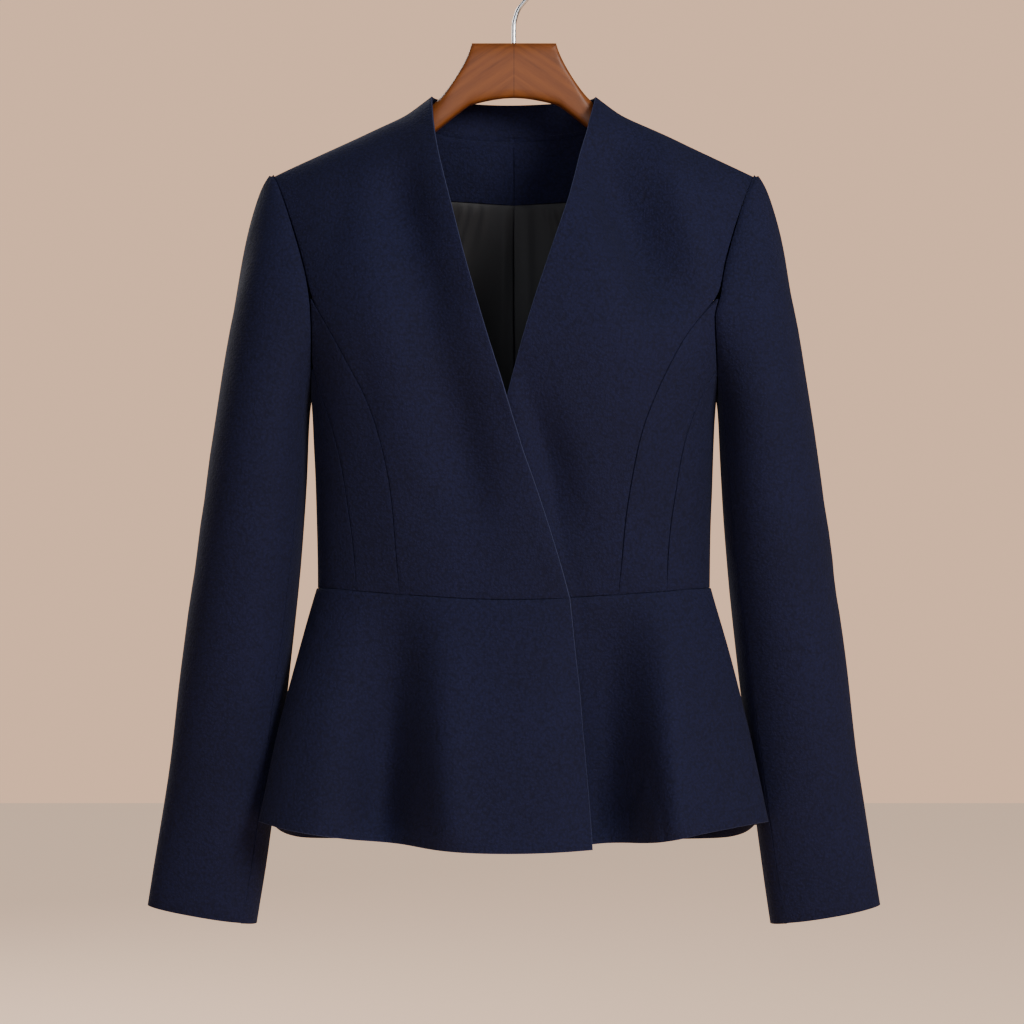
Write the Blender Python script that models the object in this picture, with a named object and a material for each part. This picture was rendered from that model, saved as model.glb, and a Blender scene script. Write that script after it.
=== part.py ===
"""Peplum jacket on a wooden hanger, cut in panels and hung as it is worn.

Sizes are in millimetres and are turned into metres when a mesh is made.
+Z is up, the front faces -Y, and +X is the wearer's left side.
The origin is the highest point inside the hook, where a rail would carry it.
"""
import math
from collections import namedtuple

import bmesh
import bpy
from mathutils import Vector

MM = 0.001

WOOL_WALL = 2.0
FACING_WALL = 1.2
LINING_WALL = 1.0
SEAM_GAP = 0.3
RIDGE_GAP = 0.7
LAYER_GAP = 0.5
LINING_EASE = 4.0
FACING_EASE = 0.9

RING_POWER = 2.4
SHOULDER_APEX_Z = -93.5
SHOULDER_SLOPE = 0.465
SHOULDER_SOFT_X = 20.0
NECK_POINT_X = 67.0
NECK_CORNER_X = 88.0
NECK_RISE = 6.5
SHOULDER_TIP_X = 197.0
RIDGE_ROUND = 25.0
RIDGE_SHARE = 0.25
CHEST_RUN = 170.0
BLADE_RUN = 120.0
BUST_X = 88.0
BUST_Z = -315.0
BUST_RADIUS = 62.0
BUST_RISE = 6.0

SIDE_FRONT_TOP_Z = -289.0
SIDE_TOP_Z = -345.0
UNDERARM_Z = -371.0
WAIST_CENTRE_Z = -530.5
WAIST_SIDE_RISE = 7.7
WAIST_RISE_X = 140.0
WAIST_RISE_POWER = 1.6
WAIST_PASSES = 3

BACK_NECK_DROP = 45.0
COLLAR_TOP_DEPTH = 41.0
COLLAR_TOP_Z = -121.4
FACING_HALF_WIDTH = 70.0
FACING_SIDE_Z = -197.5
FACING_CENTRE_Z = -202.5
LINING_HALF_WIDTH = 118.0
LINING_END_Z = -500.0
FACING_SEAM_DROP = 3.0
FACING_ROWS = 4
FACING_COLUMNS = 6
LINING_ROWS = 10
LINING_COLUMNS = 7
NECK_CURVE = 1.6
UNDERARM_CURVE = 1.4
UNDERLAP_BLEND = 35.0

SLOPE_STEP = 0.05
UNDERARM_TURN = 70.0
SLEEVE_START = 0.35

Spot = namedtuple("Spot", "point normal")
RidgeStep = namedtuple("RidgeStep", "front_edge armhole back_armhole")
SEAM_ROWS = 9
FRONT_COLUMNS = 10
SIDE_FRONT_COLUMNS = 3
SIDE_COLUMNS = 8
BACK_COLUMNS = 8

TorsoRow = namedtuple("TorsoRow", "z half_width front back")
TORSO = (
    TorsoRow(-110, 215.0, 80.0, 60.0),
    TorsoRow(-186, 208.0, 82.0, 65.0),
    TorsoRow(-216, 205.0, 84.0, 66.0),
    TorsoRow(-253, 195.0, 87.0, 67.0),
    TorsoRow(-290, 187.0, 90.0, 67.0),
    TorsoRow(-320, 180.0, 90.0, 66.0),
    TorsoRow(-345, 173.0, 88.0, 64.5),
    TorsoRow(-360, 168.8, 86.5, 63.5),
    TorsoRow(-371, 166.0, 85.0, 62.5),
    TorsoRow(-402, 165.0, 81.0, 60.0),
    TorsoRow(-440, 163.5, 74.0, 56.0),
    TorsoRow(-480, 162.0, 67.5, 52.5),
    TorsoRow(-525, 161.5, 62.0, 50.0),
    TorsoRow(-545, 161.5, 62.0, 50.0),
)

ArmholeRow = namedtuple("ArmholeRow", "z x")
ARMHOLE = (
    ArmholeRow(-185.6, 197.0),
    ArmholeRow(-190, 193.4),
    ArmholeRow(-216, 183.0),
    ArmholeRow(-253, 172.3),
    ArmholeRow(-276, 165.9),
    ArmholeRow(-291, 163.8),
    ArmholeRow(-310, 162.8),
    ArmholeRow(-345, 163.8),
    ArmholeRow(-360, 165.0),
    ArmholeRow(-371, 166.0),
)

EdgeRow = namedtuple("EdgeRow", "z over under")
FRONT_EDGES = (
    EdgeRow(-120, -67.0, 67.0),
    EdgeRow(-154, -64.0, 59.0),
    EdgeRow(-205, -52.1, 45.5),
    EdgeRow(-247, -42.3, 30.0),
    EdgeRow(-274, -34.6, 21.5),
    EdgeRow(-307, -24.6, 10.4),
    EdgeRow(-363, -7.4, -5.0),
    EdgeRow(-418, 8.7, -18.0),
    EdgeRow(-470, 27.9, -31.0),
    EdgeRow(-498, 36.7, -38.0),
    EdgeRow(-532, 45.4, -45.0),
)

SeamRow = namedtuple("SeamRow", "z right left")
PRINCESS = (
    SeamRow(-289, -163.9, 163.9),
    SeamRow(-315, -147.2, 141.8),
    SeamRow(-345, -131.4, 124.0),
    SeamRow(-367, -119.6, 113.9),
    SeamRow(-397, -109.0, 101.4),
    SeamRow(-418, -103.6, 96.9),
    SeamRow(-448, -98.3, 91.9),
    SeamRow(-477, -95.8, 88.4),
    SeamRow(-532, -92.0, 84.0),
)
SIDE_FRONT_SEAM = (
    SeamRow(-345, -163.8, 163.8),
    SeamRow(-354, -160.3, 157.0),
    SeamRow(-369, -154.6, 149.9),
    SeamRow(-391, -146.9, 140.7),
    SeamRow(-418, -140.1, 134.1),
    SeamRow(-445, -135.8, 130.2),
    SeamRow(-470, -132.0, 126.2),
    SeamRow(-493, -128.9, 124.0),
    SeamRow(-532, -127.2, 123.0),
)
SIDE_BACK_SEAM = (
    SeamRow(-345, -163.8, 163.8),
    SeamRow(-369, -153.0, 153.0),
    SeamRow(-418, -133.0, 133.0),
    SeamRow(-470, -120.0, 120.0),
    SeamRow(-532, -114.0, 114.0),
)

RIDGE_STEPS = (
    RidgeStep(0.0, 0.0, 0.0),
    RidgeStep(0.03, 0.04, 0.04),
    RidgeStep(2.5, 3.5, 3.5),
    RidgeStep(9.0, 13.0, 14.0),
    RidgeStep(24.0, 32.0, 36.0),
    RidgeStep(48.0, 58.0, 70.0),
    RidgeStep(80.0, 82.0, 112.0),
    RidgeStep(115.0, 103.4, 159.4),
)
NECK_SEAM_X = (88.0, 87.9, 84.0, 72.0, 52.0, 27.0, 0.0)

FlareRow = namedtuple("FlareRow", "waist_x x y z")
Ray = namedtuple("Ray", "place angle x y z")
OVER_PEPLUM = (
    FlareRow(45.3, 62.7, -80.0, -729.8),
    FlareRow(20.0, 34.0, -86.0, -731.0),
    FlareRow(-10.0, -2.0, -90.0, -731.5),
    FlareRow(-40.0, -36.0, -90.0, -731.0),
    FlareRow(-62.0, -64.0, -80.0, -729.5),
    FlareRow(-82.0, -86.0, -62.0, -727.5),
    FlareRow(-98.0, -104.0, -53.0, -726.5),
    FlareRow(-118.0, -127.0, -57.0, -724.0),
    FlareRow(-141.0, -156.0, -67.0, -719.0),
    FlareRow(-154.0, -184.0, -58.0, -715.0),
    FlareRow(-159.5, -201.0, -42.0, -712.0),
    FlareRow(-161.3, -208.0, -28.0, -711.5),
    FlareRow(-161.5, -197.0, -8.0, -716.0),
)
UNDER_PEPLUM = (
    FlareRow(-45.0, -58.0, -72.0, -729.0),
    FlareRow(-20.0, -26.0, -80.0, -730.0),
    FlareRow(10.0, 8.0, -78.0, -730.0),
    FlareRow(35.0, 38.0, -66.0, -729.5),
    FlareRow(55.0, 60.0, -53.0, -729.0),
    FlareRow(72.0, 76.0, -49.0, -728.0),
    FlareRow(90.0, 98.0, -60.0, -726.5),
    FlareRow(104.0, 116.0, -76.0, -724.0),
    FlareRow(118.0, 135.0, -84.0, -720.0),
    FlareRow(132.0, 152.0, -76.0, -716.5),
    FlareRow(146.0, 172.0, -63.0, -714.0),
    FlareRow(157.0, 194.0, -48.0, -711.5),
    FlareRow(161.0, 208.0, -32.0, -711.0),
    FlareRow(161.5, 197.0, -8.0, -716.0),
)
BACK_PEPLUM_HALF = (
    FlareRow(161.5, 197.0, -8.0, -716.0),
    FlareRow(158.0, 193.0, 16.0, -724.0),
    FlareRow(147.0, 181.0, 42.0, -731.0),
    FlareRow(128.0, 155.0, 60.0, -734.0),
    FlareRow(104.0, 122.0, 56.0, -734.0),
    FlareRow(84.0, 97.0, 47.0, -733.0),
    FlareRow(60.0, 66.0, 58.0, -734.0),
    FlareRow(35.0, 37.0, 69.0, -735.0),
    FlareRow(0.0, 0.0, 60.0, -734.0),
)
PEPLUM_ROWS = 8
PEPLUM_SPRING = 0.06
PEPLUM_FINER = 2
SHARP_ANGLE = 50

SleeveRow = namedtuple("SleeveRow", "outer_x outer_z inner_x inner_z front back loop_share seam hind")
SLEEVE = (
    SleeveRow(200.5, -184.6, 166.5, -371.6, -48.0, 42.0, 0.95, 160, 236),
    SleeveRow(207.0, -193.5, 166.8, -373.5, -51.0, 46.0, 0.80, 159, 237),
    SleeveRow(214.8, -217.0, 167.1, -376.0, -54.0, 50.0, 0.55, 158, 238),
    SleeveRow(223.0, -250.0, 167.5, -381.0, -57.0, 54.0, 0.30, 157, 239),
    SleeveRow(233.0, -307.0, 168.1, -391.0, -59.0, 56.0, 0.10, 155, 240),
    SleeveRow(243.5, -378.0, 168.8, -412.0, -60.0, 57.0, 0.0, 152, 242),
    SleeveRow(254.5, -451.0, 170.5, -462.0, -57.0, 56.0, 0.0, 148, 244),
    SleeveRow(268.5, -550.0, 178.6, -550.0, -45.0, 54.0, 0.0, 144, 246),
    SleeveRow(276.0, -605.0, 186.4, -607.0, -35.0, 52.0, 0.0, 142, 247),
    SleeveRow(283.0, -668.0, 193.2, -673.0, -25.0, 50.0, 0.0, 140, 248),
    SleeveRow(293.0, -727.0, 202.3, -740.0, -14.0, 47.0, 0.0, 139, 249),
    SleeveRow(302.3, -784.3, 211.6, -800.3, -8.0, 44.0, 0.0, 138, 250),
)
SLEEVE_POWER = 2.15
ARM_LENGTH = 430.0
ARM_TOP_X = 206.0
ARM_END_X = 257.0
ARM_END_Y = 18.0
ARM_ABOVE = -0.3
ARMHOLE_FIT = SleeveRow(197.0, -185.6, 166.0, -371.0, -46.0, 39.0, 1.0, 0, 0)

HangerRow = namedtuple("HangerRow", "x top bottom half_depth")
HANGER_CENTRE = (
    HangerRow(0.15, -76.3, -119.3, 8.0),
    HangerRow(34.5, -76.3, -126.5, 8.0),
    HangerRow(38.2, -87.0, -129.0, 8.0),
    HangerRow(45.8, -100.9, -134.5, 8.2),
    HangerRow(53.3, -112.1, -140.5, 8.4),
    HangerRow(60.8, -121.0, -146.5, 8.7),
    HangerRow(68.0, -126.8, -152.0, 9.0),
)
HANGER_ARM_X = (80.0, 95.0, 115.0, 140.0, 155.0, 167.0)
HANGER_CLEARANCE = 0.6
HANGER_END_HEIGHT = 24.0
HANGER_END_DEPTH = 8.5
HANGER_ROUND_X = 60.0
HANGER_POINTS = 12
HANGER_CORNER = 0.45
HANGER_TOP_SHARE = 0.95

HOOK_WIRE_RADIUS = 1.75
HOOK_RADIUS = 22.0
HOOK_STEM = ((0.0, -76.0), (0.0, -66.0), (0.5, -58.0), (4.0, -48.0))
HOOK_BEVEL_STEPS = 2
HOOK_START_ANGLE = -60
HOOK_END_ANGLE = 205
HOOK_STEP = 15

COLOURS = {
    "navy_wool": ((0.012, 0.016, 0.045), 0.85, 0.0),
    "charcoal_lining": ((0.016, 0.016, 0.020), 0.45, 0.0),
    "brown_wood": ((0.33, 0.13, 0.045), 0.45, 0.0),
    "bright_steel": ((0.75, 0.75, 0.75), 0.25, 1.0),
}


def hermite(rows, column, at):
    """Read one column of a table at any height, on a smooth curve through its rows."""
    rows = sorted(rows, key=lambda row: row[0])
    heights = [row[0] for row in rows]
    values = [getattr(row, column) for row in rows]
    if at <= heights[0]:
        return values[0]
    if at >= heights[-1]:
        return values[-1]
    right = next(index for index, height in enumerate(heights) if height > at)
    left = right - 1
    span = heights[right] - heights[left]
    slopes = []
    for index in (left, right):
        before = max(index - 1, 0)
        after = min(index + 1, len(rows) - 1)
        slopes.append((values[after] - values[before]) / (heights[after] - heights[before]))
    t = (at - heights[left]) / span
    return (
        values[left] * (1 + 2 * t) * (1 - t) ** 2
        + values[right] * (3 - 2 * t) * t ** 2
        + span * slopes[0] * t * (1 - t) ** 2
        - span * slopes[1] * (1 - t) * t ** 2
    )


def smooth_step(value):
    value = min(max(value, 0.0), 1.0)
    return value * value * (3 - 2 * value)


def shoulder_line(x):
    """Height of the shoulder ridge, straight but for a soft apex over the neck."""
    return SHOULDER_APEX_Z - SHOULDER_SLOPE * math.hypot(x, SHOULDER_SOFT_X)


def front_top_line(x):
    """The front's top edge, with the stand grown on beside the neck."""
    rise = NECK_RISE * (NECK_CORNER_X - abs(x)) / (NECK_CORNER_X - NECK_POINT_X)
    return shoulder_line(x) + min(max(rise, 0.0), NECK_RISE)


def waist_z(x):
    share = min(abs(x) / WAIST_RISE_X, 1.0)
    return WAIST_CENTRE_Z + WAIST_SIDE_RISE * share ** WAIST_RISE_POWER


def fall(drop, run):
    """How far out the cloth stands, from 0 on the ridge to 1 where it hangs at full depth."""
    ridge = min(max(drop / RIDGE_ROUND, 0.0), 1.0)
    slope = min(max(drop / run, 0.0), 1.0)
    rounded = math.sqrt(1 - (1 - ridge) ** 2)
    return RIDGE_SHARE * rounded + (1 - RIDGE_SHARE) * (1 - (1 - slope) ** 2)


def ring_share(x, z):
    ratio = min(abs(x) / hermite(TORSO, "half_width", z), 1.0)
    return (1 - ratio ** RING_POWER) ** (1 / RING_POWER)


def front_y(x, z):
    drop = front_top_line(x) - z
    away = math.hypot(abs(x) - BUST_X, z - BUST_Z) / BUST_RADIUS
    bust = BUST_RISE * math.exp(-away * away)
    depth = hermite(TORSO, "front", z) * ring_share(x, z)
    return -(RIDGE_GAP / 2 + (depth + bust * min(ring_share(x, z) * 2, 1)) * fall(drop, CHEST_RUN))


def back_y(x, z):
    drop = shoulder_line(x) - z
    depth = hermite(TORSO, "back", z) * ring_share(x, z)
    return RIDGE_GAP / 2 + depth * fall(drop, BLADE_RUN)


def spot_on(height_of, facing, x, z):
    """A point of the torso with the direction that its wall faces."""
    inwards = math.copysign(SLOPE_STEP, -x)
    y = height_of(x, z)
    slope_x = (height_of(x + inwards, z) - y) / inwards
    slope_z = (y - height_of(x, z - SLOPE_STEP)) / SLOPE_STEP
    normal = Vector((slope_x, -1.0, slope_z)) * facing
    return Spot(Vector((x, y, z)), normal.normalized())


def front_spot(x, z):
    return spot_on(front_y, 1.0, x, z)


def back_spot(x, z):
    return spot_on(back_y, -1.0, x, z)


def ring_angle(x, z, at_back):
    """Angle round the torso, 0 at centre front, 90 at the side and 180 at centre back."""
    ratio = min(abs(x) / hermite(TORSO, "half_width", z), 1.0)
    angle = math.degrees(math.asin(ratio ** (RING_POWER / 2)))
    return 180 - angle if at_back else angle


def ring_spot(angle, z, side):
    half_width = hermite(TORSO, "half_width", z)
    x = side * half_width * math.sin(math.radians(angle)) ** (2 / RING_POWER)
    front = front_spot(x, z)
    back = back_spot(x, z)
    if abs(angle - 90) < 1:
        normal = (front.normal + back.normal).normalized()
        return Spot(Vector((x, 0.0, z)), normal)
    return front if angle < 90 else back


def coons(left, right, top, bottom):
    """Fill four edges with a grid of points, rows from top to bottom."""
    rows = len(left) - 1
    columns = len(top) - 1
    grid = []
    for j in range(rows + 1):
        v = j / rows
        line = []
        for i in range(columns + 1):
            u = i / columns
            point = []
            for axis in (0, 1):
                ruled = (1 - u) * left[j][axis] + u * right[j][axis]
                lofted = (1 - v) * top[i][axis] + v * bottom[i][axis]
                corners = (1 - v) * ((1 - u) * top[0][axis] + u * top[-1][axis])
                corners += v * ((1 - u) * bottom[0][axis] + u * bottom[-1][axis])
                point.append(ruled + lofted - corners)
            line.append(tuple(point))
        grid.append(line)
    return grid


def blend_steps(count):
    return [step / count for step in range(count + 1)]


def mix(first, last, share):
    return first + (last - first) * share


def side_name(side):
    return "right" if side < 0 else "left"


def seam_x(rows, side, z):
    return hermite(rows, side_name(side), z)


def seam_levels(rows, side, top_z):
    """Points down a bodice seam from its top to the waist."""
    end_z = waist_z(seam_x(rows, side, WAIST_CENTRE_Z))
    levels = [mix(top_z, end_z, share) for share in blend_steps(SEAM_ROWS)]
    return [(seam_x(rows, side, z), z) for z in levels]


def armhole_x(side, z):
    return side * min(hermite(ARMHOLE, "x", z), hermite(TORSO, "half_width", z))


def front_armhole_edge(side):
    tip_z = front_top_line(SHOULDER_TIP_X)
    span = RIDGE_STEPS[-1].armhole
    reach = tip_z - SIDE_FRONT_TOP_Z
    levels = [tip_z - step.armhole * reach / span for step in RIDGE_STEPS]
    return [(armhole_x(side, z), z) for z in levels]


def back_armhole_edge(side):
    tip_z = front_top_line(SHOULDER_TIP_X)
    span = RIDGE_STEPS[-1].back_armhole
    reach = tip_z - SIDE_TOP_Z
    levels = [tip_z - step.back_armhole * reach / span for step in RIDGE_STEPS]
    return [(armhole_x(side, z), z) for z in levels]


def side_front_top(side):
    levels = [mix(SIDE_FRONT_TOP_Z, SIDE_TOP_Z, share) for share in blend_steps(SIDE_FRONT_COLUMNS)]
    return [(armhole_x(side, z), z) for z in levels]


def side_top(side):
    """The underarm curve, as angle and height, from the front seam to the back one."""
    points = []
    for share in blend_steps(SIDE_COLUMNS):
        lift = abs(math.cos(math.pi * share)) ** UNDERARM_CURVE
        z = UNDERARM_Z + (SIDE_TOP_Z - UNDERARM_Z) * lift
        points.append((ring_angle(armhole_x(side, z), z, share > 0.5), z))
    return points


def front_edge_points(side):
    """The neckline and the straight front edge down to the waist."""
    column = "over" if side < 0 else "under"
    top_z = front_top_line(NECK_POINT_X)
    last = RIDGE_STEPS[-1].front_edge
    levels = [top_z - step.front_edge for step in RIDGE_STEPS]
    levels += [mix(top_z - last, WAIST_CENTRE_Z, share) for share in blend_steps(SEAM_ROWS)[1:]]
    points = []
    for z in levels:
        points.append((hermite(FRONT_EDGES, column, z), z))
    points[0] = (side * NECK_POINT_X, top_z)
    return points


def underlap_inset(x, z):
    """How far the under front lies behind the surface, so that the over front clears it."""
    edge = hermite(FRONT_EDGES, "over", z)
    return (WOOL_WALL + LAYER_GAP) * smooth_step(1 - (x - edge) / UNDERLAP_BLEND)


def to_drop(points, line):
    return [(x, line(x) - z) for x, z in points]


def front_grid(side):
    left = front_edge_points(side)
    right = front_armhole_edge(side)
    right += seam_levels(PRINCESS, side, SIDE_FRONT_TOP_Z)[1:]
    top_x = [NECK_POINT_X, mix(NECK_POINT_X, NECK_CORNER_X, 0.5), NECK_CORNER_X]
    steps = blend_steps(FRONT_COLUMNS - 2)[1:]
    top_x += [mix(NECK_CORNER_X, SHOULDER_TIP_X, share) for share in steps]
    top = [(side * x, 0.0) for x in top_x]
    bottom_x = [mix(left[-1][0], right[-1][0], share) for share in blend_steps(FRONT_COLUMNS)]
    bottom = [(x, front_top_line(x) - waist_z(x)) for x in bottom_x]
    left = to_drop(left, front_top_line)
    left[-1] = bottom[0]
    right = to_drop(right, front_top_line)
    right[-1] = bottom[-1]
    grid = []
    for line in coons(left, right, top, bottom):
        row = []
        for x, drop in line:
            spot = front_spot(x, front_top_line(x) - drop)
            if side > 0:
                spot.point.y += underlap_inset(x, spot.point.z)
            row.append(spot)
        grid.append(row)
    return grid


def side_front_grid(side):
    left = [(ring_angle(x, z, False), z) for x, z in seam_levels(PRINCESS, side, SIDE_FRONT_TOP_Z)]
    right = [(ring_angle(x, z, False), z) for x, z in seam_levels(SIDE_FRONT_SEAM, side, SIDE_TOP_Z)]
    top = [(ring_angle(x, z, False), z) for x, z in side_front_top(side)]
    bottom = waist_edge(left[-1][0], right[-1][0], SIDE_FRONT_COLUMNS, side)
    return ring_grid(left, right, top, bottom, side)


def side_grid(side):
    left = [(ring_angle(x, z, False), z) for x, z in seam_levels(SIDE_FRONT_SEAM, side, SIDE_TOP_Z)]
    right = [(ring_angle(x, z, True), z) for x, z in seam_levels(SIDE_BACK_SEAM, side, SIDE_TOP_Z)]
    bottom = waist_edge(left[-1][0], right[-1][0], SIDE_COLUMNS, side)
    return ring_grid(left, right, side_top(side), bottom, side)


def waist_edge(first_angle, last_angle, columns, side):
    points = []
    for share in blend_steps(columns):
        angle = mix(first_angle, last_angle, share)
        x = ring_spot(angle, WAIST_CENTRE_Z, side).point.x
        points.append((angle, waist_z(x)))
    return points


def ring_grid(left, right, top, bottom, side):
    left = left[:-1] + [bottom[0]]
    right = right[:-1] + [bottom[-1]]
    grid = coons(left, right, top, bottom)
    return [[ring_spot(angle, z, side) for angle, z in line] for line in grid]


def neck_seam_drop(x):
    return BACK_NECK_DROP * max(1 - (abs(x) / NECK_CORNER_X) ** NECK_CURVE, 0.0)


def back_grid(side):
    neck = [(side * x, neck_seam_drop(x)) for x in NECK_SEAM_X]
    rows_left = len(RIDGE_STEPS) + SEAM_ROWS - len(neck)
    waist_drop = shoulder_line(0.0) - waist_z(0.0)
    steps = blend_steps(rows_left)[1:]
    left = neck + [(0.0, mix(neck[-1][1], waist_drop, share)) for share in steps]
    right = back_armhole_edge(side) + seam_levels(SIDE_BACK_SEAM, side, SIDE_TOP_Z)[1:]
    right = to_drop(right, shoulder_line)
    top_x = [mix(NECK_CORNER_X, SHOULDER_TIP_X, share) for share in blend_steps(BACK_COLUMNS)]
    top = [(side * x, 0.0) for x in top_x]
    bottom_x = [mix(0.0, right[-1][0], share) for share in blend_steps(BACK_COLUMNS)]
    bottom = [(x, shoulder_line(x) - waist_z(x)) for x in bottom_x]
    right[-1] = bottom[-1]
    grid = coons(left, right, top, bottom)
    half_gap = SEAM_GAP / 2
    rows = []
    for line in grid:
        kept = [(side * max(side * x, half_gap), drop) for x, drop in line]
        rows.append([back_spot(x, shoulder_line(x) - drop) for x, drop in kept])
    return rows


def collar_grid():
    """The back neck band, from the neck edge down to its seam on the back."""
    across = [-x for x in NECK_SEAM_X] + list(reversed(NECK_SEAM_X))[1:]
    seam = [back_spot(x, shoulder_line(x) - neck_seam_drop(x)) for x in across]
    edge = []
    for x in across:
        shape = math.cos(math.asin(min(abs(x) / NECK_CORNER_X, 1.0)))
        top_x = NECK_POINT_X * x / NECK_CORNER_X
        top_y = RIDGE_GAP / 2 + COLLAR_TOP_DEPTH * shape
        top_z = mix(front_top_line(NECK_POINT_X), COLLAR_TOP_Z, shape)
        edge.append(Vector((top_x, top_y, top_z)))
    low = [spot.point for spot in seam]
    grid = facing_out([edge, [top.lerp(foot, 0.5) for top, foot in zip(edge, low)], low], from_body)
    grid[-1] = seam
    for line in grid:
        for column in (0, -1):
            normal = line[column].normal.copy()
            normal.y = 0.0
            line[column] = Spot(line[column].point, normal.normalized())
    return grid


def from_body(point):
    return Vector((point.x, point.y, 0.0))


def facing_out(grid, outwards):
    """Give each point of a grid the direction across its neighbours, away from the inside."""
    rows = len(grid)
    columns = len(grid[0])
    spots = []
    for j, line in enumerate(grid):
        row = []
        for i, point in enumerate(line):
            across = line[min(i + 1, columns - 1)] - line[max(i - 1, 0)]
            down = grid[min(j + 1, rows - 1)][i] - grid[max(j - 1, 0)][i]
            normal = across.cross(down).normalized()
            if normal.dot(outwards(point)) < 0:
                normal = -normal
            row.append(Spot(point, normal))
        spots.append(row)
    return spots


def inner_back_grid(side, top_z, end_z, half_width, inset, rows, columns):
    """A layer that lies inside the back, between two heights and out to a half width."""
    grid = []
    for v in blend_steps(rows):
        line = []
        for u in blend_steps(columns):
            x = side * mix(SEAM_GAP / 2, half_width, u)
            z = mix(top_z(x), end_z(x), v)
            spot = back_spot(x, z)
            depth = inset(v)
            normal = Vector((spot.normal.x * u, spot.normal.y, spot.normal.z)).normalized()
            line.append(Spot(spot.point - normal * depth, normal))
        grid.append(line)
    return grid


def waist_ring_point(angle):
    """A point of the waist seam, from 0 at centre front round by the wearer's left."""
    turned = 360 - angle if angle > 180 else angle
    side = -1 if angle > 180 or angle < 0 else 1
    level = WAIST_CENTRE_Z
    for _ in range(WAIST_PASSES):
        point = ring_spot(abs(turned), level, side).point
        level = waist_z(point.x)
    return point


def peplum_grid(rays):
    """Rows from the waist seam down to the hem, springing out just below the seam."""
    grid = []
    for v in blend_steps(PEPLUM_ROWS):
        spring = v + PEPLUM_SPRING * math.sin(math.pi * v)
        line = []
        for ray in rays:
            waist = waist_ring_point(ray.angle)
            point = waist.lerp(Vector((ray.x, ray.y, ray.z)), spring)
            point.z = mix(waist.z, ray.z, v)
            line.append(point)
        grid.append(line)
    return grid


def peplum_rays(rows, times, at_back):
    """Smooth a flare table into rays, each from its place on the waist to its point of the hem."""
    keyed = []
    for place, row in enumerate(rows):
        angle = ring_angle(row.waist_x, WAIST_CENTRE_Z, at_back)
        if row.waist_x < 0:
            angle = 360 - angle if at_back else -angle
        keyed.append(Ray(place, angle, row.x, row.y, row.z))
    rays = []
    for step in range((len(rows) - 1) * times + 1):
        at = step / times
        rays.append(Ray(at, *[hermite(keyed, column, at) for column in Ray._fields[1:]]))
    return rays


def armhole_loop(side):
    """The armhole seam as one loop: down the front from the tip, under the arm, up the back."""
    front = [front_spot(x, z) for x, z in front_armhole_edge(side)]
    below = [front_spot(x, z) for x, z in side_front_top(side)][1:]
    under = [ring_spot(angle, z, side) for angle, z in side_top(side)][1:]
    back = [back_spot(x, z) for x, z in reversed(back_armhole_edge(side))][1:]
    loop = front + below + under + back
    tip = Spot((loop[0].point + loop[-1].point) / 2, Vector((0.0, 0.0, 1.0)))
    return [tip] + loop[1:-1]


def sleeve_edge(loop, side):
    """Start the sleeve just off the armhole, in line with the body's wall but out from under it."""
    edge = []
    for index, spot in enumerate(loop):
        along = loop[(index + 1) % len(loop)].point - loop[index - 1].point
        away = spot.normal.cross(along).normalized()
        if away.x * side < 0:
            away = -away
        share = smooth_step((spot.point.z - UNDERARM_Z) / UNDERARM_TURN)
        away = (away * share + Vector((side, 0.0, 0.0)) * (1 - share)).normalized()
        edge.append(spot.point + away * SLEEVE_START)
    return edge


def loop_angles(loop, underarm_index):
    """Spread 0 to 180 degrees down the front of the loop and 180 to 360 up its back."""
    closed = loop + [loop[0]]
    lengths = [0.0]
    for first, second in zip(closed, closed[1:]):
        lengths.append(lengths[-1] + (second - first).length)
    middle = lengths[underarm_index]
    angles = []
    for length in lengths[:-1]:
        if length <= middle:
            angles.append(180 * length / middle)
        else:
            angles.append(180 + 180 * (length - middle) / (lengths[-1] - middle))
    return angles


def sleeve_ring(row, angle, side):
    outer = Vector((side * row.outer_x, 0.0, row.outer_z))
    inner = Vector((side * row.inner_x, 0.0, row.inner_z))
    turn = math.radians(angle)
    along = math.copysign(abs(math.cos(turn)) ** (2 / SLEEVE_POWER), math.cos(turn))
    across = abs(math.sin(turn)) ** (2 / SLEEVE_POWER)
    middle_y = (row.front + row.back) / 2
    half_depth = (row.back - row.front) / 2
    point = (outer + inner) / 2 + (outer - inner) / 2 * along
    point.y = middle_y + (-half_depth if angle < 180 else half_depth) * across
    return point


def turned_angle(angle, columns, row):
    """Move the sleeve seams to where this station has them."""
    marks = ((0, 0), (columns[0], row.seam), (columns[1], row.hind), (360, 360))
    for (low, low_to), (high, high_to) in zip(marks, marks[1:]):
        if low <= angle <= high:
            return mix(low_to, high_to, (angle - low) / (high - low))
    return angle


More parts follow.
